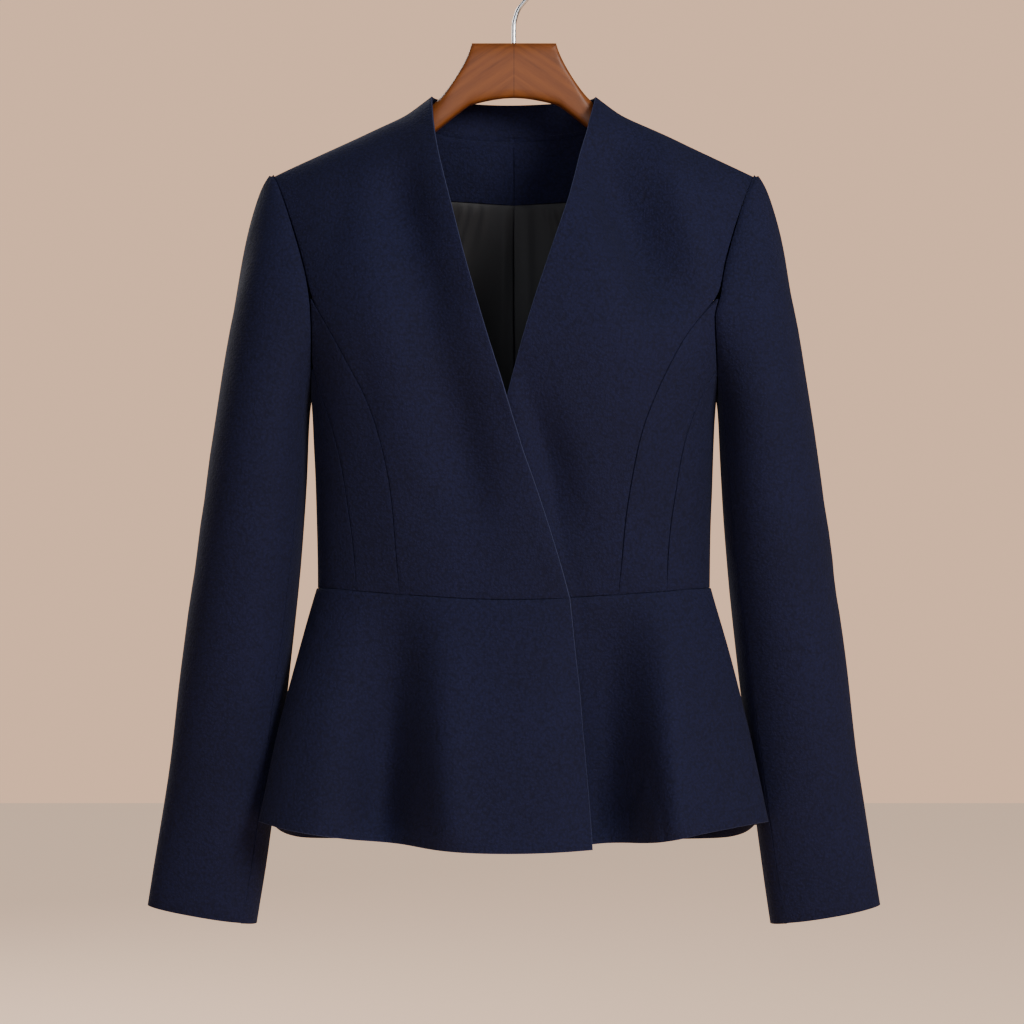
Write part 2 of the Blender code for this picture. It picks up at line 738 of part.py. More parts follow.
def sleeve_grid(side):
    """Rows from the armhole to the cuff, and the columns where the two seams run."""
    spots = armhole_loop(side)
    loop = [spot.point for spot in spots]
    underarm = len(RIDGE_STEPS) - 1 + SIDE_FRONT_COLUMNS + SIDE_COLUMNS // 2
    angles = loop_angles(loop, underarm)
    seam_column = len(RIDGE_STEPS) - 1 + SIDE_FRONT_COLUMNS + 1
    hind_column = underarm + SIDE_COLUMNS // 2 + 1
    marks = (angles[seam_column], angles[hind_column])
    grid = [sleeve_edge(spots, side)]
    for row in SLEEVE:
        line = []
        for point, angle in zip(loop, angles):
            settled = (1 - row.loop_share) ** 2
            turned = mix(angle, turned_angle(angle, marks, row), settled)
            ring = sleeve_ring(row, turned, side)
            shift = point - sleeve_ring(ARMHOLE_FIT, angle, side)
            line.append(ring + shift * row.loop_share)
        grid.append(line)

    def from_arm(point):
        share = min(max((UNDERARM_Z - point.z) / ARM_LENGTH, ARM_ABOVE), 1.0)
        axis = Vector((side * mix(ARM_TOP_X, ARM_END_X, share), ARM_END_Y * share, point.z))
        return point - axis

    closed = [[line[-1]] + line + [line[0], line[1]] for line in grid]
    spots = [line[1:-2] for line in facing_out(closed, from_arm)]
    return spots, seam_column, hind_column


def inset_edges(grid, gap):
    """Draw the four edges of a grid in by half the seam gap."""
    half = gap / 2
    moved = [[spot.point.copy() for spot in line] for line in grid]
    for j, line in enumerate(grid):
        for edge, inner in ((0, 1), (-1, -2)):
            step = line[inner].point - line[edge].point
            if step.length > half:
                moved[j][edge] += step.normalized() * half
    for edge, inner in ((0, 1), (-1, -2)):
        for i, spot in enumerate(grid[edge]):
            step = grid[inner][i].point - spot.point
            if step.length > half:
                moved[edge][i] += step.normalized() * half
    return moved


def material(name):
    found = bpy.data.materials.get(name)
    if found:
        return found
    colour, roughness, metallic = COLOURS[name]
    made = bpy.data.materials.new(name)
    made.use_nodes = True
    shader = made.node_tree.nodes["Principled BSDF"]
    shader.inputs["Base Color"].default_value = (*colour, 1.0)
    shader.inputs["Roughness"].default_value = roughness
    shader.inputs["Metallic"].default_value = metallic
    return made


def own_material(thing, name):
    copy = material(name).copy()
    copy.name = f"{thing.name}_{name}"
    thing.data.materials.append(copy)


def cloth(name, grid, wall, collection, finish="navy_wool"):
    """Make one cut piece: its outer points, and its inner ones a wall's thickness behind.

    Neighbouring pieces share the directions along a seam, so their thin edges stay parallel.
    """
    outer = inset_edges(grid, SEAM_GAP)
    rows = len(grid)
    columns = len(grid[0])
    model = bmesh.new()
    faces_out = []
    faces_in = []
    for j in range(rows):
        faces_out.append([model.verts.new(point * MM) for point in outer[j]])
        inner = [point - spot.normal * wall for point, spot in zip(outer[j], grid[j])]
        faces_in.append([model.verts.new(point * MM) for point in inner])
    for layer in (faces_out, faces_in):
        for j in range(rows - 1):
            for i in range(columns - 1):
                model.faces.new((layer[j][i], layer[j][i + 1], layer[j + 1][i + 1], layer[j + 1][i]))
    rim = [(0, i) for i in range(columns)]
    rim += [(j, columns - 1) for j in range(1, rows)]
    rim += [(rows - 1, i) for i in range(columns - 2, -1, -1)]
    rim += [(j, 0) for j in range(rows - 2, 0, -1)]
    for here, after in zip(rim, rim[1:] + rim[:1]):
        model.faces.new((faces_out[here[0]][here[1]], faces_out[after[0]][after[1]],
                         faces_in[after[0]][after[1]], faces_in[here[0]][here[1]]))
    bmesh.ops.recalc_face_normals(model, faces=model.faces)
    mesh = bpy.data.meshes.new(name)
    model.to_mesh(mesh)
    model.free()
    mesh.shade_smooth()
    mesh.set_sharp_from_angle(angle=math.radians(SHARP_ANGLE))
    piece = bpy.data.objects.new(name, mesh)
    collection.objects.link(piece)
    own_material(piece, finish)
    return piece


def bodice(collection):
    for side in (-1, 1):
        word = side_name(side)
        cloth(f"front_{word}", front_grid(side), WOOL_WALL, collection)
        cloth(f"side_front_{word}", side_front_grid(side), WOOL_WALL, collection)
        cloth(f"side_{word}", side_grid(side), WOOL_WALL, collection)
        cloth(f"back_{word}", back_grid(side), WOOL_WALL, collection)
    cloth("collar_band", collar_grid(), WOOL_WALL, collection)


def facings(collection):
    def seam_top(x):
        return shoulder_line(x) - neck_seam_drop(x) - FACING_SEAM_DROP

    def facing_end(x):
        return mix(FACING_CENTRE_Z, FACING_SIDE_Z, min(abs(x) / FACING_HALF_WIDTH, 1.0))

    def lining_end(_):
        return LINING_END_Z

    def sewn_on(v):
        return WOOL_WALL + mix(FACING_EASE, LINING_EASE, smooth_step(v * 2))

    def hanging(_):
        return WOOL_WALL + LINING_EASE

    for side in (-1, 1):
        word = side_name(side)
        facing = inner_back_grid(
            side, seam_top, facing_end, FACING_HALF_WIDTH, sewn_on, FACING_ROWS, FACING_COLUMNS
        )
        cloth(f"neck_facing_{word}", facing, FACING_WALL, collection)
        lining = inner_back_grid(
            side, facing_end, lining_end, LINING_HALF_WIDTH, hanging, LINING_ROWS, LINING_COLUMNS
        )
        cloth(f"lining_back_{word}", lining, LINING_WALL, collection, "charcoal_lining")


def peplum(collection):
    """The over front, the back and the under front, cut from one strip round the waist."""
    back = [row._replace(waist_x=-row.waist_x, x=-row.x) for row in BACK_PEPLUM_HALF]
    back += list(reversed(BACK_PEPLUM_HALF))[1:]
    over = peplum_grid(peplum_rays(OVER_PEPLUM, PEPLUM_FINER, False))
    behind = peplum_grid(peplum_rays(back, PEPLUM_FINER, True))
    under = peplum_grid(peplum_rays(tuple(reversed(UNDER_PEPLUM)), PEPLUM_FINER, False))
    edge = hermite(FRONT_EDGES, "over", WAIST_CENTRE_Z)
    for line in under:
        for point in line:
            inset = WOOL_WALL + LAYER_GAP
            point.y += inset * smooth_step(1 - (point.x - edge) / UNDERLAP_BLEND)
    first = len(over[0]) - 1
    last = first + len(behind[0]) - 1
    strip = [a + b[1:] + c[1:] for a, b, c in zip(over, behind, under)]
    spots = facing_out(strip, from_body)
    cuts = (("peplum_front_right", 0, first), ("peplum_back", first, last),
            ("peplum_front_left", last, len(strip[0]) - 1))
    for name, start, end in cuts:
        cloth(name, [line[start:end + 1] for line in spots], WOOL_WALL, collection)


def sleeves(collection):
    for side in (-1, 1):
        grid, seam_column, hind_column = sleeve_grid(side)
        under = [line[seam_column:hind_column + 1] for line in grid]
        upper = [line[hind_column:] + line[:seam_column + 1] for line in grid]
        cloth(f"sleeve_upper_{side_name(side)}", upper, WOOL_WALL, collection)
        cloth(f"sleeve_under_{side_name(side)}", under, WOOL_WALL, collection)


def hanger_section(row, side):
    """A board's section with its corners rounded off, in the plane across the arm."""
    middle = (row.top + row.bottom) / 2
    half_height = (row.top - row.bottom) / 2
    points = []
    for step in range(HANGER_POINTS):
        turn = math.tau * (step + 0.5) / HANGER_POINTS
        across = math.copysign(abs(math.sin(turn)) ** HANGER_CORNER, math.sin(turn))
        up = math.copysign(abs(math.cos(turn)) ** HANGER_CORNER, math.cos(turn))
        if up > 0 and row.x > HANGER_ROUND_X:
            across = math.sin(turn) * HANGER_TOP_SHARE
            up = math.cos(turn)
        points.append(Vector((side * row.x, row.half_depth * across, middle + half_height * up)))
    return points


def hanger(collection):
    rows = list(HANGER_CENTRE)
    last_x = HANGER_ARM_X[-1]
    first = HANGER_CENTRE[-1]
    for x in HANGER_ARM_X:
        share = (x - first.x) / (last_x - first.x)
        top = shoulder_line(x) - WOOL_WALL - HANGER_CLEARANCE
        height = mix(first.top - first.bottom, HANGER_END_HEIGHT, share)
        rows.append(HangerRow(x, top, top - height, mix(first.half_depth, HANGER_END_DEPTH, share)))
    for side in (-1, 1):
        name = f"hanger_{side_name(side)}"
        model = bmesh.new()
        loops = []
        for row in rows:
            loops.append([model.verts.new(point * MM) for point in hanger_section(row, side)])
        for first_loop, next_loop in zip(loops, loops[1:]):
            for index, corner in enumerate(first_loop):
                after = (index + 1) % len(first_loop)
                model.faces.new((corner, first_loop[after], next_loop[after], next_loop[index]))
        model.faces.new(loops[0])
        model.faces.new(list(reversed(loops[-1])))
        bmesh.ops.recalc_face_normals(model, faces=model.faces)
        mesh = bpy.data.meshes.new(name)
        model.to_mesh(mesh)
        model.free()
        board = bpy.data.objects.new(name, mesh)
        collection.objects.link(board)
        own_material(board, "brown_wood")


def hook(collection):
    """A round steel wire, straight out of the yoke and bent into a question mark."""
    centre_z = HOOK_WIRE_RADIUS - HOOK_RADIUS
    route = list(HOOK_STEM)
    for angle in range(HOOK_START_ANGLE, HOOK_END_ANGLE + 1, HOOK_STEP):
        turn = math.radians(angle)
        route.append((HOOK_RADIUS * math.cos(turn), centre_z + HOOK_RADIUS * math.sin(turn)))
    curve = bpy.data.curves.new("hook", "CURVE")
    curve.dimensions = "3D"
    curve.bevel_depth = HOOK_WIRE_RADIUS * MM
    curve.bevel_resolution = HOOK_BEVEL_STEPS
    curve.use_fill_caps = True
    spline = curve.splines.new("POLY")
    spline.points.add(len(route) - 1)
    for point, (x, z) in zip(spline.points, route):
        point.co = (x * MM, 0.0, z * MM, 1.0)
    wire = bpy.data.objects.new("hook", curve)
    collection.objects.link(wire)
    own_material(wire, "bright_steel")


def main():
    for thing in list(bpy.data.objects):
        bpy.data.objects.remove(thing, do_unlink=True)
    collection = bpy.data.collections.new("peplum_jacket")
    bpy.context.scene.collection.children.link(collection)
    bodice(collection)
    facings(collection)
    peplum(collection)
    sleeves(collection)
    hanger(collection)
    hook(collection)


main()
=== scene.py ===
# %% [markdown]
# A peplum jacket on a wooden hanger, in Blender.
# A tailored jacket is a set of flat pieces of wool that are sewn into a hollow form. Its look comes
# from four things: the form that the cut gives, thin seam lines, a few soft hollows where the cloth
# hangs, and a matt weave that is only seen from near. The form is taken from the frame, a rigid model
# of every cut piece at its real size, and this lesson makes each piece finer, bends it into its soft
# hollows, and gives it its finish.

# %% Load the frame
import math

import bmesh
import bpy
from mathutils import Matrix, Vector, noise
from mathutils.bvhtree import BVHTree
from mathutils.geometry import intersect_point_line


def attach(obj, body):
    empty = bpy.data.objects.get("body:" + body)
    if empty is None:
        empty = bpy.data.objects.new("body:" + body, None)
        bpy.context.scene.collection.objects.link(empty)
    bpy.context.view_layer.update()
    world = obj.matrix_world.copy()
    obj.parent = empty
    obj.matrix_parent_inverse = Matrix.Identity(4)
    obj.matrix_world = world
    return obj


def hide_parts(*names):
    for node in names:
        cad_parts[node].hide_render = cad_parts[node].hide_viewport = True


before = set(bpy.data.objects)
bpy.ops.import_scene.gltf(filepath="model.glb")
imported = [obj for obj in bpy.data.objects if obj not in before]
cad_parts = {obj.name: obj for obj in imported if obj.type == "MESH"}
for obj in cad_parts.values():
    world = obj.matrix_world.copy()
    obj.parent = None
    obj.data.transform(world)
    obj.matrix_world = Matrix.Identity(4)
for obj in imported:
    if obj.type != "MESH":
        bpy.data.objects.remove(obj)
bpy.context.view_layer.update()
MM = 0.001
print("pieces in the frame:", len(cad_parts))

# %% [markdown]
# The camera stands level with the middle of the jacket, straight in front of it. It could be an
# orthographic one, but the back neck, seen past the front one, is a little smaller in a photograph,
# so a long lens at a real distance is used. The lens follows from the width of the view.

# %% Camera
VIEW_WIDTH = 0.8397
VIEW_DISTANCE = 2.6
VIEW_CENTRE = Vector((-0.0016, 0.0, -0.4604))
SENSOR_WIDTH = 36.0

camera_data = bpy.data.cameras.new("camera")
camera_data.sensor_width = SENSOR_WIDTH
camera_data.lens = SENSOR_WIDTH * VIEW_DISTANCE / VIEW_WIDTH
camera = bpy.data.objects.new("camera", camera_data)
camera.location = VIEW_CENTRE - Vector((0.0, VIEW_DISTANCE, 0.0))
camera.rotation_euler = (math.radians(90), 0.0, 0.0)
bpy.context.scene.collection.objects.link(camera)
bpy.context.scene.camera = camera
print("lens:", round(camera_data.lens, 1), "mm")

# %% [markdown]
# The same few steps build the backdrop, the floor and every material, so short helpers make nodes and
# join them.

# %% Node helpers
def add_node(tree, kind, **inputs):
    """Add a node and set the inputs that are named, with spaces for underscores."""
    node = tree.nodes.new(kind)
    for name, value in inputs.items():
        node.inputs[name.replace("_", " ")].default_value = value
    return node


def join(tree, from_socket, to_socket):
    tree.links.new(from_socket, to_socket)


def maths(tree, operation, first, second):
    """A Math node on two sockets or numbers."""
    node = tree.nodes.new("ShaderNodeMath")
    node.operation = operation
    for socket, value in zip(node.inputs, (first, second)):
        if isinstance(value, (int, float)):
            socket.default_value = value
        else:
            join(tree, value, socket)
    return node.outputs[0]


def colour_steps(tree, factor, steps):
    """A Color Ramp from (place, colour) steps."""
    ramp = tree.nodes.new("ShaderNodeValToRGB")
    while len(ramp.color_ramp.elements) < len(steps):
        ramp.color_ramp.elements.new(0.5)
    for element, (place, colour) in zip(ramp.color_ramp.elements, steps):
        element.position = place
        element.color = (*colour, 1.0)
    join(tree, factor, ramp.inputs["Fac"])
    return ramp.outputs["Color"]


def camera_sees(tree):
    """A value that is 1 for what the camera itself sees, and 0 for the light that lands on things."""
    return tree.nodes.new("ShaderNodeLightPath").outputs["Is Camera Ray"]


print("helpers: add_node, join, maths, colour_steps, camera_sees")

# %% [markdown]
# The light in a room comes mostly from one side. A large soft lamp to the right and above gives the
# flutes of the peplum a bright and a dark flank, and a weak one on the left keeps the dark flanks
# from going black. A third one, behind, draws a thin light line along the dark sleeve. The world adds
# an even light from all round, for the other views too. The camera sees a warm backdrop in its place.

# %% Lamps and backdrop
LAMPS = (
    # name, place, width, height, power, colour
    ("key", (1.9, -2.65, 0.85), 1.2, 1.2, 130.0, (1.0, 0.97, 0.92)),
    ("fill", (-0.55, -3.4, 0.0), 1.6, 1.6, 31.0, (0.92, 0.95, 1.0)),
    ("behind", (-1.6, 2.2, 0.8), 1.4, 1.4, 44.0, (1.0, 0.98, 0.95)),
)
SKY_COLOUR = (0.90, 0.92, 1.0, 1.0)
SKY_STRENGTH = 0.11
BACKDROP_COLOUR = (1.0, 0.62, 0.40, 1.0)
BACKDROP_STRENGTH = 1.05

for name, place, width, height, power, colour in LAMPS:
    lamp_data = bpy.data.lights.new(name, "AREA")
    lamp_data.shape = "RECTANGLE"
    lamp_data.size = width
    lamp_data.size_y = height
    lamp_data.energy = power
    lamp_data.color = colour
    lamp = bpy.data.objects.new(name, lamp_data)
    lamp.location = place
    lamp.rotation_euler = (VIEW_CENTRE - Vector(place)).to_track_quat("-Z", "Y").to_euler()
    bpy.context.scene.collection.objects.link(lamp)

world = bpy.data.worlds.new("studio")
world.use_nodes = True
studio = world.node_tree
sky = studio.nodes["Background"]
sky.inputs["Color"].default_value = SKY_COLOUR
sky.inputs["Strength"].default_value = SKY_STRENGTH
backdrop = add_node(studio, "ShaderNodeBackground", Color=BACKDROP_COLOUR, Strength=BACKDROP_STRENGTH)
either = add_node(studio, "ShaderNodeMixShader")
join(studio, camera_sees(studio), either.inputs["Fac"])
join(studio, sky.outputs["Background"], either.inputs[1])
join(studio, backdrop.outputs["Background"], either.inputs[2])
join(studio, either.outputs["Shader"], studio.nodes["World Output"].inputs["Surface"])
bpy.context.scene.world = world
print("lamps:", len(LAMPS))

# %% [markdown]
# The floor is plain and pale. It glows a little for the camera only, so that its warm colour is seen
# but doesn't tint the wool that hangs above it.

# %% The floor
FLOOR_Z = -1.25
FLOOR_SIZE = 12.0
FLOOR_COLOUR = (0.95, 0.66, 0.47, 1.0)
FLOOR_GLOW = 0.7
FLOOR_ROUGHNESS = 0.9

bpy.ops.mesh.primitive_plane_add(size=FLOOR_SIZE, location=(0.0, 0.0, FLOOR_Z))
floor = bpy.context.object
floor.name = "floor"
floor_paint = bpy.data.materials.new("pale_floor")
floor_paint.use_nodes = True
floor_tree = floor_paint.node_tree
floor_shader = floor_tree.nodes["Principled BSDF"]
floor_shader.inputs["Base Color"].default_value = FLOOR_COLOUR
floor_shader.inputs["Emission Color"].default_value = FLOOR_COLOUR
floor_shader.inputs["Roughness"].default_value = FLOOR_ROUGHNESS
glow = maths(floor_tree, "MULTIPLY", camera_sees(floor_tree), FLOOR_GLOW)
join(floor_tree, glow, floor_shader.inputs["Emission Strength"])
floor.data.materials.append(floor_paint)
print("floor:", FLOOR_SIZE, "m wide")

# %% [markdown]
# Crepe has a pebbly face, because its yarns are twisted hard and pull up into grains of about
# one and a half millimetres. An image of cloth could be wrapped on, but it would need UVs and would
# repeat. Cells of a Voronoi texture with a finer noise over them give grains of the right size
# anywhere on the jacket, read from the object's own coordinates. More than one cloth uses the weave,
# so it is a shader node group: built once, and placed in each material with its own size. It puts out
# a height for the bump and a shade that shifts the colour.

# %% The crepe weave group
USUAL_GRAINS = 620.0
FIBRES_PER_GRAIN = 2.6
FIBRE_HEIGHT = 0.7
GRAIN_SHADE = 0.50
CLOUDS_PER_METRE = 14.0
CLOUD_SHADE = 0.16


def build_weave_group():
    group = bpy.data.node_groups.new("Crepe weave", "ShaderNodeTree")
    face = group.interface
    face.new_socket("Vector", in_out="INPUT", socket_type="NodeSocketVector")
    grain = face.new_socket("Grains per metre", in_out="INPUT", socket_type="NodeSocketFloat")
    grain.default_value = USUAL_GRAINS
    face.new_socket("Height", in_out="OUTPUT", socket_type="NodeSocketFloat")
    face.new_socket("Shade", in_out="OUTPUT", socket_type="NodeSocketFloat")
    entry = group.nodes.new("NodeGroupInput")
    leave = group.nodes.new("NodeGroupOutput")
    pebbles = add_node(group, "ShaderNodeTexVoronoi", Randomness=0.85)
    pebbles.feature = "SMOOTH_F1"
    join(group, entry.outputs["Vector"], pebbles.inputs["Vector"])
    join(group, entry.outputs["Grains per metre"], pebbles.inputs["Scale"])
    fine_scale = maths(group, "MULTIPLY", entry.outputs["Grains per metre"], FIBRES_PER_GRAIN)
    fibres = add_node(group, "ShaderNodeTexNoise", Detail=1.0, Roughness=0.5)
    join(group, entry.outputs["Vector"], fibres.inputs["Vector"])
    join(group, fine_scale, fibres.inputs["Scale"])
    cloudy = add_node(group, "ShaderNodeTexNoise", Scale=CLOUDS_PER_METRE, Detail=1.0, Roughness=0.5)
    join(group, entry.outputs["Vector"], cloudy.inputs["Vector"])
    rounded = maths(group, "SUBTRACT", 1.0, pebbles.outputs["Distance"])
    fuzz = maths(group, "MULTIPLY", fibres.outputs["Fac"], FIBRE_HEIGHT)
    height = maths(group, "ADD", rounded, fuzz)
    join(group, height, leave.inputs["Height"])
    grain_shade = maths(group, "MULTIPLY", height, GRAIN_SHADE)
    cloud_shade = maths(group, "MULTIPLY", cloudy.outputs["Fac"], CLOUD_SHADE)
    join(group, maths(group, "ADD", grain_shade, cloud_shade), leave.inputs["Shade"])
    return group


weave_group = build_weave_group()
print("group:", weave_group.name)

# %% [markdown]
# Navy wool takes in nearly all light. Its colour is a ramp between a darker and a lighter navy, set
# by the weave's shade, it is rough, and a weak sheen brightens it where the surface turns away, as
# the fibres that stand up from real wool do. A free edge is turned under and pressed hard, and where
# it catches the light it shines. That shine is a painted highlight: faces that carry the highlight
# mark get a lighter navy. The mark is a face attribute that a later cell writes.

# %% Navy wool
WOOL_DARK = (0.0020, 0.0027, 0.0165)
WOOL_LIGHT = (0.0062, 0.0080, 0.0400)
WOOL_GRAINS = 470.0
WOOL_RELIEF = 0.0006
HIGHLIGHT_MARK = "painted_edge_highlight"
# painted highlight: the lighter navy that stands in for the shine on a pressed free edge
EDGE_HIGHLIGHT_COLOUR = (0.024, 0.029, 0.072, 1.0)
SHADE_RANGE = (0.42, 0.82)
SHEEN_TINT = (0.35, 0.42, 0.80, 1.0)


def weave_material(name, dark, light, grains, relief, **finish):
    """A cloth of the shared weave; finish names the shader's own inputs."""
    made = bpy.data.materials.new(name)
    made.use_nodes = True
    tree = made.node_tree
    shader = tree.nodes["Principled BSDF"]
    place = tree.nodes.new("ShaderNodeTexCoord")
    weave = tree.nodes.new("ShaderNodeGroup")
    weave.node_tree = weave_group
    weave.inputs["Grains per metre"].default_value = grains
    join(tree, place.outputs["Object"], weave.inputs["Vector"])
    cloth_colour = colour_steps(tree, weave.outputs["Shade"], tuple(zip(SHADE_RANGE, (dark, light))))
    # painted highlight: faces with the highlight mark take the lighter edge colour in place of the cloth's
    # own
    on_edge = tree.nodes.new("ShaderNodeAttribute")
    on_edge.attribute_name = HIGHLIGHT_MARK
    highlight_mix = tree.nodes.new("ShaderNodeMix")
    highlight_mix.data_type = "RGBA"
    highlight_mix.inputs["B"].default_value = EDGE_HIGHLIGHT_COLOUR
    join(tree, on_edge.outputs["Fac"], highlight_mix.inputs["Factor"])
    join(tree, cloth_colour, highlight_mix.inputs["A"])
    join(tree, highlight_mix.outputs["Result"], shader.inputs["Base Color"])
    bump = add_node(tree, "ShaderNodeBump", Strength=0.9, Distance=relief)
    join(tree, weave.outputs["Height"], bump.inputs["Height"])
    join(tree, bump.outputs["Normal"], shader.inputs["Normal"])
    shader.inputs["Sheen Roughness"].default_value = 0.45
    shader.inputs["Sheen Tint"].default_value = SHEEN_TINT
    for socket, value in finish.items():
        shader.inputs[socket.replace("_", " ")].default_value = value
    return made


navy_wool = weave_material(
    "navy_wool", WOOL_DARK, WOOL_LIGHT, WOOL_GRAINS, WOOL_RELIEF,
    Roughness=0.88, Specular_IOR_Level=0.25, Sheen_Weight=0.04,
)
print("material:", navy_wool.name)

# %% [markdown]
# The lining is a satin: smooth, charcoal, with a soft highlight. Its weave is too fine to see, so it
# gets much smaller grains with hardly any relief, a lower roughness, and no sheen.

# %% Charcoal lining
LINING_DARK = (0.0050, 0.0047, 0.0068)
LINING_LIGHT = (0.0084, 0.0078, 0.0110)
LINING_GRAINS = 2600.0
LINING_RELIEF = 0.00003

charcoal_lining = weave_material(
    "charcoal_lining", LINING_DARK, LINING_LIGHT, LINING_GRAINS, LINING_RELIEF,
    Roughness=0.55, Specular_IOR_Level=0.3, Sheen_Weight=0.0,
)
print("material:", charcoal_lining.name)

# %% [markdown]
# The hanger is glued from two halves whose grain runs along each arm and meets in a chevron. Two
# materials could be turned against each other, but reading the distance from the glue line in place
# of X mirrors one. A wave stretched along the grain gives the year rings, a fine noise the pores, and
# a broad one the drift in colour that keeps the rings from looking printed. At the glue line it darkens.

# %% Hanger wood
WOOD_DARK = (0.048, 0.013, 0.0026)
WOOD_MIDDLE = (0.150, 0.042, 0.008)
WOOD_LIGHT = (0.205, 0.062, 0.011)
GRAIN_TURN = (0.0, math.radians(-34), 0.0)
GRAIN_STRETCH = (0.08, 1.0, 1.0)
RING_SHARE, PORE_SHARE, DRIFT_SHARE = 0.16, 0.45, 0.50
GLUE_HALF_WIDTH = 0.00035


def build_wood():
    made = bpy.data.materials.new("brown_wood")
    made.use_nodes = True
    tree = made.node_tree
    shader = tree.nodes["Principled BSDF"]
    place = tree.nodes.new("ShaderNodeTexCoord")
    apart = tree.nodes.new("ShaderNodeSeparateXYZ")
    join(tree, place.outputs["Object"], apart.inputs["Vector"])
    mirrored = tree.nodes.new("ShaderNodeCombineXYZ")
    from_glue = maths(tree, "ABSOLUTE", apart.outputs["X"], 0.0)
    join(tree, from_glue, mirrored.inputs["X"])
    join(tree, apart.outputs["Y"], mirrored.inputs["Y"])
    join(tree, apart.outputs["Z"], mirrored.inputs["Z"])
    turned = add_node(tree, "ShaderNodeMapping", Rotation=GRAIN_TURN)
    join(tree, mirrored.outputs["Vector"], turned.inputs["Vector"])
    stretched = add_node(tree, "ShaderNodeMapping", Scale=GRAIN_STRETCH)
    join(tree, turned.outputs["Vector"], stretched.inputs["Vector"])
    rings = add_node(tree, "ShaderNodeTexWave", Scale=38.0, Distortion=9.0, Detail=3.0, Detail_Scale=1.4)
    rings.bands_direction = "Z"
    join(tree, stretched.outputs["Vector"], rings.inputs["Vector"])
    pores = add_node(tree, "ShaderNodeTexNoise", Scale=700.0, Detail=4.0, Roughness=0.65)
    join(tree, stretched.outputs["Vector"], pores.inputs["Vector"])
    broad = add_node(tree, "ShaderNodeTexNoise", Scale=70.0, Detail=2.0)
    join(tree, stretched.outputs["Vector"], broad.inputs["Vector"])
    streaks = maths(tree, "MULTIPLY", rings.outputs["Fac"], RING_SHARE)
    fine = maths(tree, "MULTIPLY", pores.outputs["Fac"], PORE_SHARE)
    wide = maths(tree, "MULTIPLY", broad.outputs["Fac"], DRIFT_SHARE)
    shade = maths(tree, "ADD", maths(tree, "ADD", streaks, fine), wide)
    off_glue = maths(tree, "DIVIDE", from_glue, GLUE_HALF_WIDTH)
    glue = maths(tree, "MINIMUM", off_glue, 1.0)
    shade = maths(tree, "MULTIPLY", shade, glue)
    steps = ((0.10, WOOD_DARK), (0.52, WOOD_MIDDLE), (0.85, WOOD_LIGHT))
    join(tree, colour_steps(tree, shade, steps), shader.inputs["Base Color"])
    bump = add_node(tree, "ShaderNodeBump", Strength=0.35, Distance=0.0002)
    join(tree, pores.outputs["Fac"], bump.inputs["Height"])
    join(tree, bump.outputs["Normal"], shader.inputs["Normal"])
    shader.inputs["Roughness"].default_value = 0.5
    shader.inputs["Specular IOR Level"].default_value = 0.3
    shader.inputs["Coat Weight"].default_value = 0.06
    shader.inputs["Coat Roughness"].default_value = 0.25
    return made


wood = build_wood()
print("material:", wood.name)

# %% [markdown]
# Bright steel wire is fully metallic. Fine scratches along it vary its roughness a little.

# %% Steel
STEEL_COLOUR = (0.78, 0.78, 0.79, 1.0)
BRIGHT_ROUGHNESS = 0.1
SCRATCH_ROUGHNESS = 0.2

steel = bpy.data.materials.new("bright_steel")
steel.use_nodes = True
steel_tree = steel.node_tree
steel_shader = steel_tree.nodes["Principled BSDF"]
steel_shader.inputs["Base Color"].default_value = STEEL_COLOUR
steel_shader.inputs["Metallic"].default_value = 1.0
steel_place = steel_tree.nodes.new("ShaderNodeTexCoord")
scratches = add_node(steel_tree, "ShaderNodeTexNoise", Scale=700.0, Detail=3.0)
join(steel_tree, steel_place.outputs["Object"], scratches.inputs["Vector"])
wear = maths(steel_tree, "MULTIPLY", scratches.outputs["Fac"], SCRATCH_ROUGHNESS)
join(steel_tree, maths(steel_tree, "ADD", wear, BRIGHT_ROUGHNESS), steel_shader.inputs["Roughness"])
print("material:", steel.name)

# %% [markdown]
# Every cut piece of the frame is a wall of wool with coarse faces. Drawing the jacket again by hand
# could miss the seams by a millimetre and leave slits, so each piece starts as a copy of its frame
# solid. What a seam needs is first read from the solids: which faces are a piece's rim, which side
# of it is seen, and where the next piece lies. A face is seen when it turns away from the middle of
# the body, or from the slanting line in the middle of its sleeve.

# %% Read the rims and their neighbours
SHARP_EDGE = math.radians(50)
RIM_WIDTH = 0.0028
SEAM_REACH = 0.0022
ARM_TOP_Z, ARM_LENGTH = -0.371, 0.43
ARM_TOP_X, ARM_END_X, ARM_END_Y = 0.206, 0.257, 0.018


def search_tree(*names):
    """A tree of the named solids' faces, in which a nearest face or a ray's hit is found fast."""
    whole = bmesh.new()
    for name in names:
        whole.from_mesh(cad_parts[name].data)
    tree = BVHTree.FromBMesh(whole)
    whole.free()
    return tree


piece_trees = {name: search_tree(name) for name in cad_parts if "hook" not in name}


def is_sharp(edge):
    return len(edge.link_faces) == 2 and edge.calc_face_angle() > SHARP_EDGE


def thin_faces(grid):
    """The faces that run round a piece, across the thickness of its wall."""
    found = []
    for face in grid.faces:
        plain = [edge for edge in face.edges if not is_sharp(edge)]
        if len(face.edges) - len(plain) >= 2 and all(edge.calc_length() < RIM_WIDTH for edge in plain):
            found.append(face)
    return found


def is_shown(face, name):
    """Whether a face is on the side of its piece that is seen: out on wool, to the front inside."""
    if name.startswith(("lining", "neck_facing")):
        return face.normal.y < 0
    centre = face.calc_center_median()
    axis = Vector((0.0, 0.0, centre.z))
    if name.startswith("sleeve"):
        share = (ARM_TOP_Z - centre.z) / ARM_LENGTH
        side = math.copysign(1.0, centre.x)
        axis.x = side * (ARM_TOP_X + (ARM_END_X - ARM_TOP_X) * share)
        axis.y = ARM_END_Y * share
    return face.normal.dot(centre - axis) > 0


